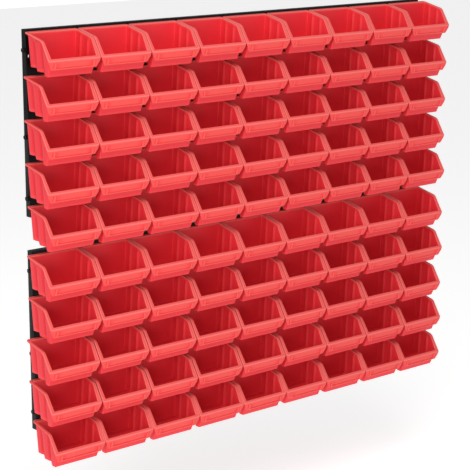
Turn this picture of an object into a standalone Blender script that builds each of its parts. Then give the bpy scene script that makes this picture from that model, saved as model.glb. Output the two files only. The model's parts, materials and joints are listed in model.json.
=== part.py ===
"""Wall-hung set of open-fronted parts bins: six moulded rail panels, two tiers of three, with
five rails each and three hook-on bins to a rail. Metres, +Z up, bins towards -Y, wall at y = 0.
The origin is the middle of the back of the upper middle panel."""

import math

import bmesh
import bpy

# Layout
COLUMNS = 9
ROWS_PER_PANEL = 5
PITCH = 0.128                 # from bin to bin along a rail
ROW_PITCH = 0.089             # from rail to rail on one panel
PANEL_W = 0.376               # a little under three pitches, so the end bins overhang
PANEL_H = 0.386
PANEL_D = 0.015
TIER_DROP = 0.457             # from the upper tier to the lower one
SIDES = ("left", "middle", "right")
FIT_GAP = 0.0003              # left between touching pieces
FIRST_RIM = (0.0045, 0.0065)  # first rim below the panel's top edge, upper and lower tier
# How far each row of bins hangs off centre, and how much its spacing differs from PITCH
ROW_SHIFT = (0.008, 0.0015, 0.0, -0.001, 0.0025, -0.0025, -0.001, -0.006, -0.003, -0.001)
ROW_SPREAD = (0.0, 0.0, 0.0, 0.0, 0.0, 0.0, 0.0003, 0.0006, 0.0006, -0.0006)
GROUP = 3
SEPARATE_BINS = 3             # the first bins hang singly, the rest in joined threes, one to a rail

# Panel moulding
FACE_T = 0.0025
SIDE_MARGIN = 0.018
END_MARGIN = 0.010
CELLS_X = 2
CELLS_Z = 1
WEB_T = 0.003
KNOB_R = 0.005
KNOB_OUT = 0.004
KNOB_PLACES = (0.11, 0.57, 0.90)     # fractions of the height, from the top
SOCKET_ROOM = 0.0006
SCREW_HOLE = (0.0035, 0.006, 0.013)  # radius, distance in from the side, distance from the end
KEY_HOLE = (0.006, 0.0105, 0.055)
ROUND_SIDES = 10

# Rail: a short leg out of the panel with an upturned lip, below each row of rims
RAIL_W = PANEL_W - 0.008
LEG_OUT = 0.0048
LEG_T = 0.0025
LIP_T = 0.0020
LIP_TOP = -0.0035             # below the rim's back edge
HOOK_END = -0.0090

# Bin, hung: y from the panel's face, z from the back edge of its rim
BIN_W = 0.1266
WALL_T = 0.0018
FLANGE = 0.0042
RIM_TILT = math.radians(13)
KNEE = (-0.0622, -0.0144)     # y, z where the rim turns down
LIP = (-0.0832, -0.0490)      # top of the front wall
BACK_WALL_Y = -0.0063
BACK_FLOOR_Z = -0.0715
FRONT_FLOOR = (-0.0681, -0.0869)
FRONT_LEAN = 0.0164 / 0.0369  # front wall's run for each unit of height
TAPER = 0.0965                # each side wall's draft
BAND_TOP = (-0.0877, -0.0530)
BAND_END = (-0.0822, -0.0723)
BAND_INSET = 0.0088           # band's foot, in from the rim's side
HOOK_T = WALL_T
BRIDGE = (0.010, 0.0030)      # depth and thickness of the link between joined bins


def clear_scene():
    for obj in list(bpy.data.objects):
        bpy.data.objects.remove(obj, do_unlink=True)


def collection(name):
    made = bpy.data.collections.new(name)
    bpy.context.scene.collection.children.link(made)
    return made


def plastic(name, color, roughness):
    made = bpy.data.materials.new(name)
    made.use_nodes = True
    shader = made.node_tree.nodes["Principled BSDF"]
    shader.inputs["Base Color"].default_value = (*color, 1)
    shader.inputs["Roughness"].default_value = roughness
    shader.inputs["Metallic"].default_value = 0
    return made


def add_object(name, mesh, group, material=None):
    made = bpy.data.objects.new(name, mesh)
    group.objects.link(made)
    if material:
        mesh.materials.clear()
        mesh.materials.append(material)
    return made


def mesh_from(name, shape):
    made = bpy.data.meshes.new(name)
    shape.to_mesh(made)
    shape.free()
    return made


def add_box(shape, low, high):
    corners = bmesh.ops.create_cube(shape, size=1)["verts"]
    for corner in corners:
        for axis in range(3):
            corner.co[axis] = high[axis] if corner.co[axis] > 0 else low[axis]


def add_rod(shape, radius, start, end, axis):
    """A closed cylinder from start to end along x or y."""
    rod = bmesh.ops.create_cone(shape, cap_ends=True, segments=ROUND_SIDES, radius1=radius,
                                radius2=radius, depth=1)["verts"]
    for corner in rod:
        along = end[axis] if corner.co.z > 0 else start[axis]
        across = corner.co.x
        up = start[2] + corner.co.y
        if axis == 0:
            corner.co = (along, start[1] + across, up)
        else:
            corner.co = (start[0] - across, along, up)


def tool(name, shape):
    """A hidden shape for a Boolean."""
    bmesh.ops.recalc_face_normals(shape, faces=shape.faces)
    made = add_object(name, mesh_from(name, shape), cutters)
    made.hide_render = True
    made.display_type = "WIRE"
    return made


def boolean(obj, operation, other):
    modifier = obj.modifiers.new(other.name, "BOOLEAN")
    modifier.operation = operation
    modifier.solver = "EXACT"
    modifier.object = other


def finished_mesh(obj, name):
    """The mesh that obj's modifiers make, without obj."""
    bpy.context.view_layer.update()
    graph = bpy.context.evaluated_depsgraph_get()
    made = bpy.data.meshes.new_from_object(obj.evaluated_get(graph))
    made.name = name
    bpy.data.objects.remove(obj, do_unlink=True)
    return made


def first_rim_z(tier):
    """Height of a panel's first rim, from the panel's middle."""
    return PANEL_H / 2 - FIRST_RIM[tier]


def panel_mesh(tier):
    half_w = PANEL_W / 2 - FIT_GAP / 2
    half_h = PANEL_H / 2
    board = bmesh.new()
    add_box(board, (-half_w, -PANEL_D, -half_h), (half_w, 0, half_h))
    panel = add_object("board", mesh_from("board", board), cutters)

    pockets = bmesh.new()
    cell_w = (2 * (half_w - SIDE_MARGIN) + WEB_T) / CELLS_X
    cell_h = (2 * (half_h - END_MARGIN) + WEB_T) / CELLS_Z
    for column in range(CELLS_X):
        for row in range(CELLS_Z):
            x = -half_w + SIDE_MARGIN + column * cell_w
            z = -half_h + END_MARGIN + row * cell_h
            add_box(pockets, (x, -PANEL_D + FACE_T, z),
                    (x + cell_w - WEB_T, 0.001, z + cell_h - WEB_T))
    boolean(panel, "DIFFERENCE", tool("pockets", pockets))

    legs = bmesh.new()
    lips = bmesh.new()
    for row in range(ROWS_PER_PANEL):
        rim_z = first_rim_z(tier) - row * ROW_PITCH
        leg_top = rim_z + HOOK_END - FIT_GAP
        front = -PANEL_D - LEG_OUT
        add_box(legs, (-RAIL_W / 2, front, leg_top - LEG_T),
                (RAIL_W / 2, -PANEL_D + 0.001, leg_top))
        add_box(lips, (-RAIL_W / 2, front, leg_top - LEG_T),
                (RAIL_W / 2, front + LIP_T, rim_z + LIP_TOP))
    boolean(panel, "UNION", tool("rail_legs", legs))
    boolean(panel, "UNION", tool("rail_lips", lips))

    knobs = bmesh.new()
    sockets = bmesh.new()
    middle = -PANEL_D / 2
    for place in KNOB_PLACES:
        z = half_h - place * PANEL_H
        add_rod(knobs, KNOB_R, (-half_w - KNOB_OUT, middle, z), (-half_w + 0.002, middle, z), 0)
        add_rod(sockets, KNOB_R + SOCKET_ROOM,
                (half_w - KNOB_OUT - 2 * SOCKET_ROOM, middle, z), (half_w + 0.001, middle, z), 0)
    boolean(panel, "UNION", tool("knobs", knobs))
    boolean(panel, "DIFFERENCE", tool("sockets", sockets))

    holes = bmesh.new()
    for radius, inward, from_end in (SCREW_HOLE, KEY_HOLE):
        for side in (-1, 1):
            for end in (-1, 1):
                x = side * (half_w - inward)
                z = end * (half_h - from_end)
                add_rod(holes, radius, (x, -PANEL_D - 0.001, z), (x, 0.001, z), 1)
    boolean(panel, "DIFFERENCE", tool("screw_holes", holes))
    return finished_mesh(panel, "panel")


def half_width(z):
    """Half the body's outer width at height z."""
    return BIN_W / 2 - FLANGE + TAPER * z


def bin_body():
    """The tub's outer surface, cut open along the rim and down to the lip."""
    tub = bmesh.new()
    top = 0.002
    wall_top = LIP[0] - FRONT_LEAN * (top - LIP[1])
    corners = {
        (1, 1): (BACK_WALL_Y, top),
        (1, -1): (BACK_WALL_Y, BACK_FLOOR_Z),
        (-1, -1): FRONT_FLOOR,
        (-1, 1): (wall_top, top),
    }
    for corner in bmesh.ops.create_cube(tub, size=2)["verts"]:
        side = math.copysign(1, corner.co.x)
        y, z = corners[round(corner.co.y), round(corner.co.z)]
        corner.co = (side * half_width(z), y, z)
    slope = math.atan2(LIP[1] - KNEE[1], LIP[0] - KNEE[0])
    # The sheet lies one wall thickness under the rim's upper surface
    rim_cut = ((0, 0, -WALL_T / math.cos(RIM_TILT)), (0, -math.sin(RIM_TILT), math.cos(RIM_TILT)))
    front_normal = (0, math.sin(slope), -math.cos(slope))
    front_cut = ((0, *LIP), front_normal)
    for point, normal in (rim_cut, front_cut):
        bmesh.ops.bisect_plane(tub, geom=tub.verts[:] + tub.edges[:] + tub.faces[:],
                               plane_co=point, plane_no=normal, clear_outer=True)
    return tub


def add_flange(tub):
    """The rim round the mouth, with its hook at the back and its label band at the front."""
    mouth = [edge for edge in tub.edges if edge.is_boundary]
    grown = bmesh.ops.extrude_edge_only(tub, edges=mouth)["geom"]
    rim = [item for item in grown if isinstance(item, bmesh.types.BMVert)]
    back, front = [], []
    for corner in rim:
        x, y, z = corner.co
        corner.co.x = math.copysign(BIN_W / 2, x)
        if y > BACK_WALL_Y - 0.001:
            run = BACK_WALL_Y + FIT_GAP + HOOK_T
            corner.co.y -= run
            corner.co.z -= run * math.tan(RIM_TILT)
            back.append(corner)
        elif z < (KNEE[1] + LIP[1]) / 2:
            corner.co.y = BAND_TOP[0] + WALL_T
            corner.co.z = BAND_TOP[1]
            front.append(corner)
    for row, foot in ((back, None), (front, BAND_END)):
        edge = next(e for e in tub.edges if set(e.verts) == set(row))
        for corner in bmesh.ops.extrude_edge_only(tub, edges=[edge])["geom"]:
            if not isinstance(corner, bmesh.types.BMVert):
                continue
            if foot is None:
                corner.co.z = HOOK_END
            else:
                corner.co = (corner.co.x - math.copysign(BAND_INSET, corner.co.x),
                             foot[0] + WALL_T, foot[1])


def bin_mesh():
    tub = bin_body()
    add_flange(tub)
    made = add_object("tub", mesh_from("tub", tub), cutters)
    wall = made.modifiers.new("wall", "SOLIDIFY")
    wall.thickness = WALL_T
    wall.offset = -1
    wall.use_even_offset = True
    return finished_mesh(made, "bin")


def bin_x(row, column):
    middle = (COLUMNS - 1) / 2
    return (column - middle) * PITCH + ROW_SHIFT[row] + (column - middle) * ROW_SPREAD[row]


def rim_z(row):
    tier, rail = divmod(row, ROWS_PER_PANEL)
    return first_rim_z(tier) - rail * ROW_PITCH - tier * TIER_DROP


def joined_mesh(row, single):
    """Three bins linked by short bridges between neighbouring rims, about the middle one."""
    spacing = PITCH + ROW_SPREAD[row]
    places = [(step - (GROUP - 1) / 2) * spacing for step in range(GROUP)]
    shape = bmesh.new()
    for x in places:
        before = len(shape.verts)
        shape.from_mesh(single)
        shape.verts.ensure_lookup_table()
        for corner in shape.verts[before:]:
            corner.co.x += x
    bins = add_object("bins", mesh_from("bins", shape), cutters)
    links = bmesh.new()
    overlap = 0.001
    y = (KNEE[0] + BACK_WALL_Y) / 2
    z = y * math.tan(RIM_TILT)
    for x in places[:-1]:
        low_x = x + BIN_W / 2 - overlap
        high_x = x + spacing - BIN_W / 2 + overlap
        add_box(links, (low_x, y - BRIDGE[0] / 2, z - BRIDGE[1] / 2 - WALL_T / 2),
                (high_x, y + BRIDGE[0] / 2, z + BRIDGE[1] / 2 - WALL_T / 2))
    boolean(bins, "UNION", tool("links_%d" % (row + 1), links))
    return finished_mesh(bins, "bins_row_%d" % (row + 1))


def build_panels():
    for tier, level in enumerate(("upper", "lower")):
        shared = panel_mesh(tier)
        for column, side in enumerate(SIDES):
            made = add_object("panel_%s_%s" % (level, side), shared, parts, panel_black)
            made.location = ((column - 1) * PANEL_W, 0, -tier * TIER_DROP)


def build_bins():
    single = bin_mesh()
    for column in range(SEPARATE_BINS):
        made = add_object("bin_r1_c%d" % (column + 1), single, parts, bin_red)
        made.location = (bin_x(0, column), -PANEL_D, rim_z(0))
    for row in range(2 * ROWS_PER_PANEL):
        shared = joined_mesh(row, single)
        for group, side in enumerate(SIDES):
            if row == 0 and group * GROUP < SEPARATE_BINS:
                continue
            made = add_object("bins_r%d_%s" % (row + 1, side), shared, parts, bin_red)
            middle = group * GROUP + (GROUP - 1) / 2
            made.location = (bin_x(row, middle), -PANEL_D, rim_z(row))


clear_scene()
parts = collection("hanging_parts_bins")
cutters = collection("cutters")
cutters.hide_render = True
bin_red = plastic("bin_red", (0.72, 0.03, 0.035), 0.42)
panel_black = plastic("panel_black", (0.012, 0.012, 0.013), 0.5)
build_panels()
build_bins()
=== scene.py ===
import json
import math

import bmesh
import bpy
import numpy as np
from mathutils import Euler, Matrix, Vector


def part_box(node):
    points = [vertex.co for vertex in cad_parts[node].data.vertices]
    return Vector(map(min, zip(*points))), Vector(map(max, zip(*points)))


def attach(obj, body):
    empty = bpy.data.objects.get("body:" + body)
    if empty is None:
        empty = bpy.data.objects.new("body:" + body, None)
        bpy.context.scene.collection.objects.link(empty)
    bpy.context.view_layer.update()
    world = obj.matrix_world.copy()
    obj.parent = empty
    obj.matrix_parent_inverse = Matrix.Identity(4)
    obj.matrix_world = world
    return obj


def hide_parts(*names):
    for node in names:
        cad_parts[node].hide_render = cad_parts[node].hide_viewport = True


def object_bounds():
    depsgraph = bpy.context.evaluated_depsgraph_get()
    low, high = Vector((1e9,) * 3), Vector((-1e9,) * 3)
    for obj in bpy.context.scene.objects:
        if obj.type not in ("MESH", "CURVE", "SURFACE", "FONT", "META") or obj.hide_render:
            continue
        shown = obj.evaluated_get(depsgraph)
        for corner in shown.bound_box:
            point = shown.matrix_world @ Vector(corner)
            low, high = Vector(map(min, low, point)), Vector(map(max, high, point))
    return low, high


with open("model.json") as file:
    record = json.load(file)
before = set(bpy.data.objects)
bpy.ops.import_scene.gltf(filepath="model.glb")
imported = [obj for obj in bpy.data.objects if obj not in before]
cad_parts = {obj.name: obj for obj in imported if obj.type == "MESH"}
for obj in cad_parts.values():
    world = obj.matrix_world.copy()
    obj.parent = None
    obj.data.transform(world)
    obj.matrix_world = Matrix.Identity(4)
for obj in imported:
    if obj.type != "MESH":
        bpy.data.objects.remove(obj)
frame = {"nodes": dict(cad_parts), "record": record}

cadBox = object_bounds()
print("frame loaded")

# metres throughout; the wall is y = 0, the bins face -Y and hang in rows along X


# a wrapped shader socket, so that maths on it reads as an expression

class Socket:
    def __init__(self, tree, out):
        self.tree = tree
        self.out = out

    def math(self, operation, *others):
        return self.tree.node("ShaderNodeMath", {"operation": operation}, self, *others)

    def __add__(self, other): return self.math("ADD", other)
    def __radd__(self, other): return self.math("ADD", other)
    def __sub__(self, other): return self.math("SUBTRACT", other)
    def __mul__(self, other): return self.math("MULTIPLY", other)
    def __rmul__(self, other): return self.math("MULTIPLY", other)

    def __rsub__(self, other):
        return self.tree.node("ShaderNodeMath", {"operation": "SUBTRACT"}, other, self)

    def clamped(self):
        return self.tree.node("ShaderNodeClamp", {}, self)

    def between(self, low, high):
        # 0 below low, 1 above high, smooth in the middle
        return self.tree.node("ShaderNodeMapRange", {"interpolation_type": "SMOOTHSTEP"},
                              self, low, high, 0.0, 1.0)


class Tree:
    def __init__(self, name):
        self.material = bpy.data.materials.new(name)
        self.material.use_nodes = True
        self.nodes = self.material.node_tree.nodes
        self.links = self.material.node_tree.links
        self.shader = self.nodes["Principled BSDF"]

    def put(self, socket, value):
        if isinstance(value, Socket):
            self.links.new(value.out, socket)
        else:
            socket.default_value = value

    def node(self, kind, settings, *values, out=0, **named):
        # settings first, then sockets by order, None passing one over, then sockets by name
        made = self.nodes.new(kind)
        for key, value in settings.items():
            setattr(made, key, value)
        for socket, value in zip(made.inputs, values):
            if value is not None:
                self.put(socket, value)
        for key, value in named.items():
            self.put(made.inputs[key.replace("_", " ")], value)
        return Socket(self, made.outputs[out])

    def objectPlace(self):
        return self.node("ShaderNodeTexCoord", {}, out="Object")

    def noise(self, place, scale, detail=2.0, rough=0.5):
        return self.node("ShaderNodeTexNoise", {}, Vector=place, Scale=scale, Detail=detail,
                         Roughness=rough, out="Fac")

    def stretched(self, place, factors):
        return self.node("ShaderNodeMapping", {}, Vector=place, Scale=factors)

    def mixColor(self, factor, first, second):
        # a Mix node's colours are its seventh and eighth sockets and its third result
        passedOver = [None] * 5
        return self.node("ShaderNodeMix", {"data_type": "RGBA"}, factor, *passedOver,
                         first, second, out=2)

    def bump(self, height, distance, strength=1.0):
        return self.node("ShaderNodeBump", {}, Height=height, Distance=distance,
                         Strength=strength)

    def finish(self, **inputs):
        for key, value in inputs.items():
            self.put(self.shader.inputs[key.replace("_", " ")], value)
        return self.material


# the worn and rim colours stand for rubbed wear and painted highlight; the shade colour is painted
# shade
binFinish = dict(
    deep=(0.76, 0.030, 0.042, 1), bright=(0.84, 0.040, 0.056, 1), wornAndLit=(0.80, 0.100, 0.078, 1),
    rim=(0.84, 0.165, 0.160, 1), shade=(0.42, 0.008, 0.014, 1),
    rough=0.38, specular=0.20, grainScale=900.0, grainDepth=0.00006, grainStrength=0.5,
    speckScale=240.0, flowScale=9.0, flowStretch=(1, 1, 0.5), flowShare=0.5,
    rubbedAndLit=0.75, rubbedSpeck=0.5, rimFrom=0.80, roughFlow=0.10, roughSpeck=0.12, roughWorn=0.05,
)


def binRed(name, shift):
    # satin polypropylene: slow colour flow, fine spark texture and paler rubbed edges; the paler
    # value also lays on painted highlight, and below 0 painted shade
    f = binFinish
    t = Tree(name)
    place = t.objectPlace()
    flow = t.noise(t.stretched(place, f["flowStretch"]), f["flowScale"], 3.0)
    speck = t.noise(place, f["speckScale"], 2.0)
    grain = t.noise(place, f["grainScale"], 2.0, 0.6)
    # edge is the paler value: rubbed wear and painted highlight above 0, painted shade below 0
    edge = t.node("ShaderNodeAttribute", {"attribute_name": "paler"}, out="Fac")
    body = t.mixColor((flow * f["flowShare"] + f["flowShare"] / 2 + shift).clamped(),
                      f["deep"], f["bright"])
    # paler where rubbed and where painted highlight is laid on
    rubbedAndLit = (edge * (f["rubbedAndLit"] + speck * f["rubbedSpeck"])).clamped()
    # painted shade: below 0 the colour is mixed towards the shade colour
    paintedShade = (edge * -1.0).clamped()
    color = t.mixColor(rubbedAndLit, body, f["wornAndLit"])
    # the palest stretches take the rim colour: rubbed wear and painted highlight
    color = t.mixColor(edge.between(f["rimFrom"], 1.0), color, f["rim"])
    color = t.mixColor(paintedShade, color, f["shade"])
    rough = (f["rough"] + flow * f["roughFlow"] - f["roughFlow"] / 2
             + (speck - 0.5) * f["roughSpeck"] + edge * f["roughWorn"])
    return t.finish(Base_Color=color, Roughness=rough.clamped(),
                    Normal=t.bump(grain, f["grainDepth"], f["grainStrength"]),
                    Specular_IOR_Level=f["specular"])


panelFinish = dict(
    dark=(0.0015, 0.0015, 0.0018, 1), light=(0.004, 0.004, 0.005, 1),
    scuff=(0.035, 0.035, 0.038, 1),
    rough=0.42, specular=0.15, grainScale=700.0, grainDepth=0.00010, grainStrength=0.5,
    cloudScale=14.0, scratchScale=6.0, scratchStretch=(18.0, 18.0, 160.0),
    patchRange=(0.52, 0.75), patchShare=0.35, scratchRange=(0.62, 0.8), scratchShare=0.25,
    roughPatch=0.15, roughGrain=0.15,
)


def panelBlack(name):
    # moulded black panel: leathery grain, dusty lighter patches where it has been handled
    f = panelFinish
    t = Tree(name)
    place = t.objectPlace()
    cloud = t.noise(place, f["cloudScale"], 4.0, 0.6)
    grain = t.noise(place, f["grainScale"], 3.0, 0.6)
    scratch = t.noise(t.stretched(place, f["scratchStretch"]), f["scratchScale"], 3.0, 0.7)
    patch = cloud.between(*f["patchRange"])
    body = t.mixColor(cloud, f["dark"], f["light"])
    scratched = scratch.between(*f["scratchRange"]) * f["scratchShare"]
    scuffed = (patch * f["patchShare"] + scratched).clamped()
    color = t.mixColor(scuffed, body, f["scuff"])
    rough = f["rough"] + patch * f["roughPatch"] + (grain - 0.5) * f["roughGrain"]
    return t.finish(Base_Color=color, Roughness=rough.clamped(),
                    Normal=t.bump(grain, f["grainDepth"], f["grainStrength"]),
                    Specular_IOR_Level=f["specular"])


# each bin is one closed surface, a grid of rings carried from the middle of the outer floor,
# up the outer wall, out round the rim, down the inner wall and back to the middle of the floor

binShape = dict(
    width=0.1266, wall=0.0018, rimTilt=math.radians(13),
    knee=(-0.0622, -0.0144), lip=(-0.0832, -0.0490), tip=(-0.0878, -0.0530),
    kneeBlend=0.0005, lipBlend=0.0004,
    bodyInset=0.0040, draft=0.0680, backY=-0.0063, frontFoot=(-0.0681, -0.0869),
    frontLean=0.0164 / 0.0369, underRim=1.15, wallShort=0.0010,
    floorLevels=(-0.0715, -0.0785, -0.0868), grooves=(-0.0260, -0.0522), stepRun=0.0035,
    floorInset=0.010, floorRings=(0.0, 0.6, 0.94),
    outerRings=(0.12, 0.3, 0.5, 0.68, 0.84, 0.93, 1.0),
    innerRings=(0.06, 0.16, 0.32, 0.5, 0.7, 0.88), sharp=math.radians(38),
    cornerBack=0.0028, cornerFront=0.0022, footRound=0.0022, innerCorner=0.6,
    sideStart=-0.0155, grooveWidth=0.0120, grooveDepth=0.0026, grooveRest=0.0115,
    grooveFade=(0.002, 0.012), grooveShade=0.0014, ribShine=0.0020, shadeWidth=0.42,
    rimBackY=-0.0003, rimCornerBack=0.0060, rimCornerFront=0.0030, rimRound=0.0007,
    leastCorner=(0.0006, 0.0008), mouthRound=(0.00005, 0.0007),
    rimSkirt=0.0028, skirtRound=0.0004, skirtRoom=0.0012, skirtDrop=0.0008, faceInset=0.0001,
    hookDepth=0.0090, hookInset=0.0055, hookFade=0.003, hookRun=(0.0012, 0.0040),
    bandDepth=0.0195, bandInset=0.0088, bandBlend=0.0010, bandRun=(-0.0062, -0.0022),
    bandLean=0.0055, leanRun=(-0.012, -0.004), bandFoot=(0.0032, 0.0012, -0.0002, -0.0020),
    guideX=0.0465, guideHalf=0.0020, guideProud=0.0012, guideGroove=0.0004, guideStep=0.0006,
    ledgeMiddle=0.030, footLevel=-0.08, meetingStart=-0.03, meetingRounds=25,
)

# rings down the label band: share of its depth, then 1 where the bars, the ledge along the
# foot and the fine groove over that ledge cross the ring
labelRings = (
    (0.95, 0, 0, 0), (0.91, 1, 1, 0), (0.82, 1, 1, 0), (0.78, 1, 0, 1),
    (0.72, 1, 0, 0), (0.45, 1, 0, 0), (0.24, 1, 0, 0), (0.17, 0, 0, 0),
)


# how much paler (above 0) or deeper (below 0) each stretch of the surface is: the deeper outer
# sides, grooves and fronts are painted shade; the paler band, guide bars, skirt foot and inner ribs
# are painted highlight, with guideGroove taken off the band as painted shade; the paler rim is
# rubbed wear and painted highlight
binWearAndLight = dict(
    footRound=0.25, outerSideShade=-0.10, outerGrooveShade=-0.35, outerFrontShade=-0.08,
    skirtInsideHighlight=0.1, skirtFootHighlight=0.5, skirtEdgeHighlight=0.6, band=0.58, guide=0.24, guideGroove=0.5,
    rimEdgeRubbedAndLit=1.0, rimTopRubbedAndLit=0.85, innerRibHighlight=0.26,
)


def smoothStep(value, low, high):
    # 0 up to low, 1 from high, and 3tt - 2ttt in between
    t = np.clip((value - low) / (high - low), 0, 1)
    return t * t * (3 - 2 * t)


def softMin(a, b, k):
    # the smaller of a and b, rounded over about k where they cross
    return -k * np.logaddexp(-a / k, -b / k)


def mouthHeight(y):
    # height of the rim's top at depth y: a straight back part, a steep fall past the knee and
    # an easier one past the lip, joined by soft minima
    s = binShape
    flat = y * math.tan(s["rimTilt"])
    fall = s["knee"][1] + (y - s["knee"][0]) * (s["lip"][1] - s["knee"][1]) / (
        s["lip"][0] - s["knee"][0])
    ease = s["lip"][1] + (y - s["lip"][0]) * (s["tip"][1] - s["lip"][1]) / (
        s["tip"][0] - s["lip"][0])
    front = -softMin(-fall, -ease, s["lipBlend"])
    return softMin(flat, front, s["kneeBlend"])


def floorHeight(y):
    # three flat treads, one to each side panel, deepest at the front
    s = binShape
    back, middle, front = s["floorLevels"]
    first, second = s["grooves"]
    half = s["stepRun"] / 2
    return (back + (middle - back) * smoothStep(-y, -first - half, -first + half)
            + (front - middle) * smoothStep(-y, -second - half, -second + half))


def outlineStations():
    # half the outline, from the middle of the back to the middle of the front: which stretch
    # each station lies on (0 back, 1 back corner, 2 side, 3 front corner, 4 front) and how far
    s = binShape
    back = [(0, f) for f in (0.0, 0.45, 0.85)]
    corner = [(1, f) for f in np.linspace(0, 1, 5)]
    half = s["grooveWidth"] / 2
    places = [s["sideStart"]]
    for groove in s["grooves"]:
        places += [groove + half * f for f in (1.0, 0.75, 0.5, 0.25, 0.0, -0.25, -0.5, -0.75, -1.0)]
        places.append(groove - s["grooveRest"])
    side = [(2, y) for y in places]
    turn = [(3, f) for f in np.linspace(0, 1, 6)]
    guide, bar = s["guideX"], s["guideHalf"]
    foot = s["width"] / 2 - s["bandInset"]
    step = s["guideStep"]
    xs = [foot + f for f in s["bandFoot"]]
    xs += [guide + bar + step, guide + bar, guide - bar, guide - bar - step, s["ledgeMiddle"], 0.0]
    front = [(4, x) for x in xs]
    return back + corner + side + turn + front


stations = outlineStations()
stationKind = np.array([kind for kind, _ in stations])
stationPlace = np.array([float(place) for _, place in stations])


def outline(halfWidth, backY, frontY, backRound, frontRound):
    # rounded rectangle at those sizes: side stations keep their own y, clear of the front corner
    kind, place = stationKind, stationPlace
    zeros = np.zeros(len(kind))
    halfWidth, backY, frontY = (np.broadcast_to(v, zeros.shape) for v in (halfWidth, backY, frontY))
    turn = place * math.pi / 2
    x = np.select(
        [kind == 0, kind == 1, kind == 2, kind == 3, kind == 4],
        [place * (halfWidth - backRound), halfWidth - backRound * (1 - np.sin(turn)), halfWidth,
         halfWidth - frontRound * (1 - np.cos(turn)),
         np.minimum(place, halfWidth - frontRound * 1.02)])
    y = np.select(
        [kind == 0, kind == 1, kind == 2, kind == 3, kind == 4],
        [backY, backY - backRound * (1 - np.cos(turn)),
         np.maximum(place, frontY + frontRound * 1.1),
         frontY + frontRound * (1 - np.sin(turn)), frontY])
    return x, y


def wallRing(height, inward=0.0, ribs=1.0):
    # outline of the wall at that height for each station; ribs scales the grooves
    s = binShape
    halfWidth = s["width"] / 2 - s["bodyInset"] + s["draft"] * height - inward
    frontY = s["frontFoot"][0] - s["frontLean"] * (height - s["frontFoot"][1]) + inward
    x, y = outline(halfWidth, s["backY"] - inward, frontY,
                   s["cornerBack"] - inward * s["innerCorner"],
                   s["cornerFront"] - inward * s["innerCorner"])
    half = s["grooveWidth"] / 2
    groove = sum(1 - smoothStep(np.abs(y - g), 0.0, half) for g in s["grooves"])
    side = stationKind == 2
    return x - np.where(side, groove * s["grooveDepth"] * ribs, 0), y


def grooveShare(shift):
    # how deep in a groove each side station is, 0 to 1, with the grooves moved along by shift
    s = binShape
    half = s["grooveWidth"] * s["shadeWidth"]
    share = sum(1 - smoothStep(np.abs(stationPlace - shift - g), 0.0, half) for g in s["grooves"])
    return np.where(stationKind == 2, share, 0.0)


def wallAtMouth(inward, below):
    # the wall's outline where it meets the rim, found by a few rounds of substitution
    height = np.full(len(stationKind), binShape["meetingStart"])
    for _ in range(binShape["meetingRounds"]):
        x, y = wallRing(height, inward, 0.0)
        height = mouthHeight(y) - below
    return height


def rimRing(inset, below, lean=0.0):
    # the rim's outer outline, inset from the edge and below its top; lean moves the front back
    s = binShape
    x, y = outline(s["width"] / 2 - inset, s["rimBackY"] - inset, s["tip"][0] + inset,
                   max(s["rimCornerBack"] - inset, s["leastCorner"][0]),
                   max(s["rimCornerFront"] - inset, s["leastCorner"][1]))
    top = mouthHeight(y)
    front = smoothStep(s["tip"][0] - y, *s["leanRun"])
    return x, y + lean * front, top - below


def skirtDepth():
    # how far the rim turns down at each station: hook behind, label band in front, a bead beside
    s = binShape
    x, y, _ = rimRing(0, 0)
    edge = s["width"] / 2 - x
    slant = s["rimSkirt"] + edge * (s["bandDepth"] - s["rimSkirt"]) / s["bandInset"]
    band = softMin(slant, s["bandDepth"], s["bandBlend"])
    frontness = smoothStep(s["tip"][0] - y, *s["bandRun"])
    backness = (1 - smoothStep(-y, *s["hookRun"])) * smoothStep(
        edge, s["hookInset"], s["hookInset"] + s["hookFade"])
    return s["rimSkirt"] + (band - s["rimSkirt"]) * frontness + (
        s["hookDepth"] - s["rimSkirt"]) * backness


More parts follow.
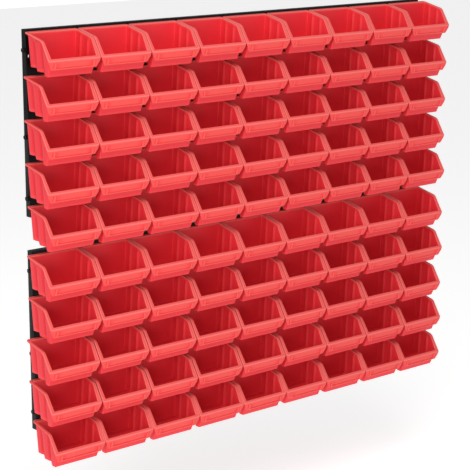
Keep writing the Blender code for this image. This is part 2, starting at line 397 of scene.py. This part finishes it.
def halfBinRings():
    # rings of (x, y, z) at every station, in path order, with the paler value of each ring: rubbed
    # wear, painted highlight and painted shade
    s = binShape
    rings, wearAndLight = [], []

    def add(x, y, z, wornAndLit=0.0):
        rings.append(np.stack(np.broadcast_arrays(x, y, z), 1).astype(float))
        wearAndLight.append(np.broadcast_to(np.asarray(wornAndLit, float), (len(stationKind),)).copy())

    def footRing(inward, angle):
        # quarter round between floor and wall, angle 0 on the floor, 90 on the wall
        r = s["footRound"]
        level = floorHeight(wallRing(s["footLevel"], inward)[1]) + (s["wall"] if inward else 0)
        x, y = wallRing(level + r, inward)
        back = r * (1 - math.sin(angle))
        midY = (s["backY"] + s["frontFoot"][0]) / 2
        nx = np.select([stationKind == 2, (stationKind == 0) | (stationKind == 4)], [1.0, 0.0],
                       np.where(stationKind == 1, np.sin(stationPlace * math.pi / 2),
                                np.cos(stationPlace * math.pi / 2)))
        ny = np.sqrt(np.clip(1 - nx * nx, 0, 1)) * np.where(y > midY, 1, -1)
        return x - back * nx, y - back * ny, level + r * (1 - math.cos(angle))

    def floorRing(inward, share):
        # drawn in towards the middle line, which it meets at share 0; the steps stay straight
        x, y, _ = footRing(inward, 0.0)
        inset = (1 - share) * s["floorInset"]
        newY = np.clip(y, y.min() + inset, y.max() - inset)
        return x * share, newY, floorHeight(newY) + (s["wall"] if inward else 0)

    sides = np.where(stationKind == 2, 1.0, 0.0)
    fronts = np.where(stationKind == 4, 1.0, 0.0)
    steps = np.linspace(0, math.pi / 2, 4)
    # outer floor and wall
    for share in s["floorRings"]:
        add(*floorRing(0, share))
    for angle in steps:
        add(*footRing(0, angle), wornAndLit=binWearAndLight["footRound"])
    under = s["wall"] * s["underRim"]
    mouth = wallAtMouth(0, under + s["wallShort"])
    start = footRing(0, math.pi / 2)[2]
    for f in s["outerRings"]:
        height = start + (mouth - start) * f
        fade = smoothStep(mouth - height, *s["grooveFade"])
        x, y = wallRing(height, 0, fade)
        # painted shade: the outer sides, the outer grooves and the tub fronts are made deeper in
        # colour
        grooves = grooveShare(s["grooveShade"]) * fade
        add(x, y, height, binWearAndLight["outerSideShade"] * sides + binWearAndLight["outerGrooveShade"] * grooves
            + binWearAndLight["outerFrontShade"] * fronts)
    # under the rim, down inside the skirt and up its face; the skirt's foot is painted paler as a
    # painted highlight along the band's lower edge
    skirt = skirtDepth()
    t = s["wall"]
    lean = s["bandLean"] * skirt / s["bandDepth"]
    x, y, z = rimRing(t + s["skirtRoom"], under)
    add(x, y, z)
    x, y, z = rimRing(t, under + s["skirtDrop"])
    add(x, y, z)
    x, y, z = rimRing(t, 0)
    tuck = (rimRing(t, 0, 1.0)[1] - y) * lean
    add(x, y + tuck, z - skirt + s["skirtRound"], binWearAndLight["skirtInsideHighlight"])
    x, y, z = rimRing(t * 0.5, 0)
    add(x, y + tuck, z - skirt, binWearAndLight["skirtFootHighlight"])
    x, y, z = rimRing(s["faceInset"], 0)
    add(x, y + tuck, z - skirt + s["skirtRound"], binWearAndLight["skirtEdgeHighlight"])
    # label guides: a bar near each end and a ledge along the foot, each edged by a fine groove; the
    # band is painted paler as painted highlight, the bars and ledge paler still as painted
    # highlight, the fine grooves darker as painted shade
    x, y, z = rimRing(s["faceInset"], 0)
    stepsAway = (np.abs(stationPlace - s["guideX"]) - s["guideHalf"]) / s["guideStep"]
    bar = fronts * (stepsAway < 0.5)
    barEdge = fronts * (stepsAway > 0.5) * (stepsAway < 1.5)
    within = fronts * (stationPlace < s["guideX"])
    for f, isBar, isLedge, isEdge in labelRings:
        raised = np.maximum(bar * isBar, within * isLedge)
        sunk = np.maximum(barEdge * isBar * (1 - isLedge), within * (1 - bar) * isEdge)
        out = raised * s["guideProud"] - sunk * s["guideGroove"]
        add(x, y + tuck * f - out, z - s["rimRound"] - (skirt - s["rimRound"]) * f,
            binWearAndLight["band"] + raised * binWearAndLight["guide"] - sunk * binWearAndLight["guideGroove"])
    # rounded outer edge, flat top, rounded mouth, all paler as rubbed wear and painted highlight
    r = s["rimRound"]
    for angle in (0.0, 0.5, 1.05, math.pi / 2):
        x, y, z = rimRing(r * (1 - math.cos(angle)), r * (1 - math.sin(angle)))
        add(x, y, z, binWearAndLight["rimEdgeRubbedAndLit"])
    innerMouth = wallAtMouth(t, 0)
    xi, yi = wallRing(innerMouth, t, 0)
    xo, yo, _ = rimRing(r, 0)
    for f in (0.4, 0.8):
        x, y = xo + (xi - xo) * f, yo + (yi - yo) * f
        add(x, y, mouthHeight(y), binWearAndLight["rimTopRubbedAndLit"])
    for f, drop in zip((0.95, 1.0), s["mouthRound"]):
        x, y = xo + (xi - xo) * f, yo + (yi - yo) * f
        add(x, y, mouthHeight(y) - drop, binWearAndLight["rimEdgeRubbedAndLit"])
    # inner wall and floor
    foot = footRing(t, math.pi / 2)[2]
    innerTop = innerMouth - s["mouthRound"][1]
    for f in s["innerRings"]:
        height = innerTop + (foot - innerTop) * f
        fade = smoothStep(innerMouth - height, *s["grooveFade"])
        x, y = wallRing(height, t, fade)
        # painted highlight: the inner ribs are painted paler on their front flank
        add(x, y, height, binWearAndLight["innerRibHighlight"] * grooveShare(-s["ribShine"]) * fade)
    for angle in steps[::-1]:
        add(*footRing(t, angle))
    for share in s["floorRings"][::-1]:
        add(*floorRing(t, share))
    return np.array(rings), np.array(wearAndLight)


def binArrays():
    # the half grid and its mirror make closed rings; first and last ring close on the middle line
    half, wearAndLight = halfBinRings()
    other = half[:, -2:0:-1].copy()
    other[:, :, 0] *= -1
    grid = np.concatenate([half, other], 1)
    wornAndLit = np.concatenate([wearAndLight, wearAndLight[:, -2:0:-1]], 1)
    levels, around = grid.shape[:2]
    index = np.arange(levels * around).reshape(levels, around)
    a = index[:-1]
    b = index[1:]
    faces = np.stack([a, b, np.roll(b, -1, 1), np.roll(a, -1, 1)], 2).reshape(-1, 4)
    return grid.reshape(-1, 3), faces, wornAndLit.reshape(-1)


def closedMesh(name, points, faces, wornAndLit):
    # doubles merged, so poles close, and normals turned outwards
    mesh = bpy.data.meshes.new(name)
    mesh.from_pydata(points.tolist(), [], faces.tolist())
    mesh.attributes.new("paler", "FLOAT", "POINT").data.foreach_set("value", wornAndLit)
    shape = bmesh.new()
    shape.from_mesh(mesh)
    bmesh.ops.remove_doubles(shape, verts=shape.verts, dist=1e-6)
    bmesh.ops.recalc_face_normals(shape, faces=shape.faces)
    shape.to_mesh(mesh)
    shape.free()
    mesh.shade_smooth()
    mesh.set_sharp_from_angle(angle=binShape["sharp"])
    return mesh


def place(name, mesh, shift, material, body, node, slotName):
    # a copy of the mesh with its place in its points, riding on its body
    own = mesh.copy()
    own.name = name
    own.transform(Matrix.Translation(shift))
    piece = bpy.data.objects.new(name, own)
    bpy.context.scene.collection.objects.link(piece)
    own.materials.append(material)
    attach(piece, body)
    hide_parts(node)
    return piece


rowCount = dict(columns=9, rows=10, single=3, group=3)


def binPlaces():
    # (piece, body, node, middle of its rim's back edge), from the boxes of single bins and threes
    width = binShape["width"]
    bodyOf = {}
    for body, nodes in frame["record"]["behaviour"]["bodies"].items():
        for node in nodes:
            bodyOf[node] = body
    for row in range(1, rowCount["rows"] + 1):
        for column in range(rowCount["columns"]):
            name = "bin_r%d_c%d" % (row, column + 1)
            group, step = divmod(column, rowCount["group"])
            node = name
            if row > 1 or column >= rowCount["single"]:
                node = "bins_r%d_%s" % (row, ("left", "middle", "right")[group])
            low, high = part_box(node)
            spacing = (high[0] - low[0] - width) / (rowCount["group"] - 1)
            x = low[0] + width / 2 + (0 if node == name else step * spacing)
            yield name, bodyOf[node], node, (x, high[1] - binShape["rimBackY"], high[2])


def makeBins():
    # one shell for all, in three slightly different reds
    points, faces, wornAndLit = binArrays()
    mesh = closedMesh("binShell", points, faces, wornAndLit)
    reds = [binRed("binRed%d" % i, shift) for i, shift in enumerate((-0.08, 0.0, 0.08))]
    for count, (name, body, node, spot) in enumerate(binPlaces()):
        place(name + "_shell", mesh, spot, reds[(count * 7) % 3], body, node, "bin_red")
    print("bins", count + 1, "faces each", len(mesh.polygons))


panelShape = dict(
    bevel=0.0007, angle=math.radians(30), plate=0.0025, margin=0.018, end=0.010, depth=0.015,
    width=0.376, rib=0.0012, ribsAcross=7, ribsUp=7, ribBack=-0.004, ribSink=0.0003,
    sharp=math.radians(35),
)


def makePanels(material):
    # each moulding is its solid with the loose triangles merged and its edges eased
    for node in [n for n in frame["nodes"] if n.startswith("panel_")]:
        source = frame["nodes"][node]
        shape = bmesh.new()
        shape.from_mesh(source.data)
        shape.transform(source.matrix_world)
        bmesh.ops.remove_doubles(shape, verts=shape.verts, dist=1e-6)
        bmesh.ops.dissolve_limit(shape, angle_limit=math.radians(1), verts=shape.verts,
                                 edges=shape.edges)
        mesh = bpy.data.meshes.new(node + "_moulding")
        shape.to_mesh(mesh)
        shape.free()
        piece = bpy.data.objects.new(node + "_moulding", mesh)
        bpy.context.scene.collection.objects.link(piece)
        edge = piece.modifiers.new("eased", "BEVEL")
        edge.width = panelShape["bevel"]
        edge.segments = 2
        edge.limit_method = "ANGLE"
        edge.angle_limit = panelShape["angle"]
        mesh.shade_smooth()
        mesh.set_sharp_from_angle(angle=panelShape["sharp"])
        mesh.materials.append(material)
        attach(piece, "wall_panels")
        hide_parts(node)
        makeRibs(node, material)
    print("panels done")


def makeRibs(node, material):
    # low stiffening ribs in the open back, a crossed grid short of the wall and sunk in the plate
    s = panelShape
    low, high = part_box(node)
    left, right = high[0] - s["width"] + s["margin"], high[0] - s["margin"]
    bottom, top = low[2] + s["end"], high[2] - s["end"]
    back, front = s["ribBack"], -s["depth"] + s["plate"] - s["ribSink"]
    sets = ((s["ribsAcross"], left, right, 0), (s["ribsUp"], bottom, top, 2))
    shape = bmesh.new()
    for count, start, finish, along in sets:
        for step in range(1, count + 1):
            size = [right - left, back - front, top - bottom]
            size[along] = s["rib"]
            middle = [(left + right) / 2, (back + front) / 2, (bottom + top) / 2]
            middle[along] = start + (finish - start) * step / (count + 1)
            bmesh.ops.create_cube(shape, size=1.0, matrix=Matrix.LocRotScale(middle, None, size))
    mesh = bpy.data.meshes.new(node + "_back_ribs")
    shape.to_mesh(mesh)
    shape.free()
    piece = bpy.data.objects.new(node + "_back_ribs", mesh)
    bpy.context.scene.collection.objects.link(piece)
    mesh.materials.append(material)
    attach(piece, "wall_panels")
    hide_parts(node)


makeBins()
makePanels(panelBlack("panelBlack"))


# floor, lamps and camera

studio = dict(
    floorDrop=0.25, floorSize=12.0, floorColor=(0.93, 0.93, 0.93, 1), floorRough=0.9,
    floorGlow=0.48, world=0.42, backdrop=1.05,
    lamps=[
        # name, place, aimed at, size, watts, colour
        ("overhead", (-1.1, -1.5, 2.3), (0, -0.1, -0.3), 2.4, 56, (1, 0.98, 0.96)),
        ("side", (-2.55, -1.75, 0.15), (0, 0, -0.35), 1.2, 27, (0.97, 0.97, 1.0)),
    ],
)


def makeStage():
    # a pale floor that glows a little, under an even white world that looks brighter than it lights
    low, high = cadBox
    floorZ = low[2] - studio["floorDrop"]
    size = studio["floorSize"]
    corners = [(-size, -size, floorZ), (size, -size, floorZ), (size, size, floorZ),
               (-size, size, floorZ)]
    mesh = bpy.data.meshes.new("floor")
    mesh.from_pydata(corners, [], [(0, 1, 2, 3)])
    floor = bpy.data.objects.new("floor", mesh)
    bpy.context.scene.collection.objects.link(floor)
    t = Tree("floorPale")
    mesh.materials.append(t.finish(Base_Color=studio["floorColor"], Roughness=studio["floorRough"],
                                   Emission_Color=(1, 1, 1, 1),
                                   Emission_Strength=studio["floorGlow"]))
    world = bpy.data.worlds.new("studio")
    bpy.context.scene.world = world
    world.use_nodes = True
    background = world.node_tree.nodes["Background"]
    seen = world.node_tree.nodes.new("ShaderNodeLightPath")
    level = world.node_tree.nodes.new("ShaderNodeMapRange")
    level.inputs["To Min"].default_value = studio["world"]
    level.inputs["To Max"].default_value = studio["backdrop"]
    world.node_tree.links.new(seen.outputs["Is Camera Ray"], level.inputs["Value"])
    world.node_tree.links.new(level.outputs[0], background.inputs["Strength"])
    background.inputs["Color"].default_value = (1, 1, 1, 1)


def softLight(name, spot, target, size, power, color):
    light = bpy.data.lights.new(name, "AREA")
    light.size = size
    light.energy = power
    light.color = color
    lamp = bpy.data.objects.new(name, light)
    bpy.context.scene.collection.objects.link(lamp)
    lamp.location = spot
    lamp.rotation_euler = (Vector(target) - Vector(spot)).to_track_quat("-Z", "Y").to_euler()


view = dict(place=(-2.341, -2.806, 0.516), azimuth=-39.77, elevation=11.17, roll=0.155,
            sensor=36.0, lens=125.46383, shiftY=-0.1)


def makeCamera():
    # azimuth turns the view from +Y towards +X, elevation looks down, roll is about the axis
    camera = bpy.data.cameras.new("camera")
    camera.sensor_width = view["sensor"]
    camera.lens = view["lens"]
    camera.shift_y = view["shiftY"]
    camera.clip_end = 100
    holder = bpy.data.objects.new("camera", camera)
    bpy.context.scene.collection.objects.link(holder)
    holder.location = view["place"]
    azimuth, elevation = math.radians(-view["azimuth"]), math.radians(view["elevation"])
    forward = Vector((math.sin(azimuth) * math.cos(elevation),
                      math.cos(azimuth) * math.cos(elevation), -math.sin(elevation)))
    turn = forward.to_track_quat("-Z", "Y")
    holder.rotation_euler = (turn @ Euler((0, 0, -math.radians(view["roll"]))).to_quaternion()
                             ).to_euler()
    bpy.context.scene.camera = holder


makeStage()
for lamp in studio["lamps"]:
    softLight(*lamp)
makeCamera()
bpy.context.scene.view_settings.view_transform = "Standard"
print("stage done")
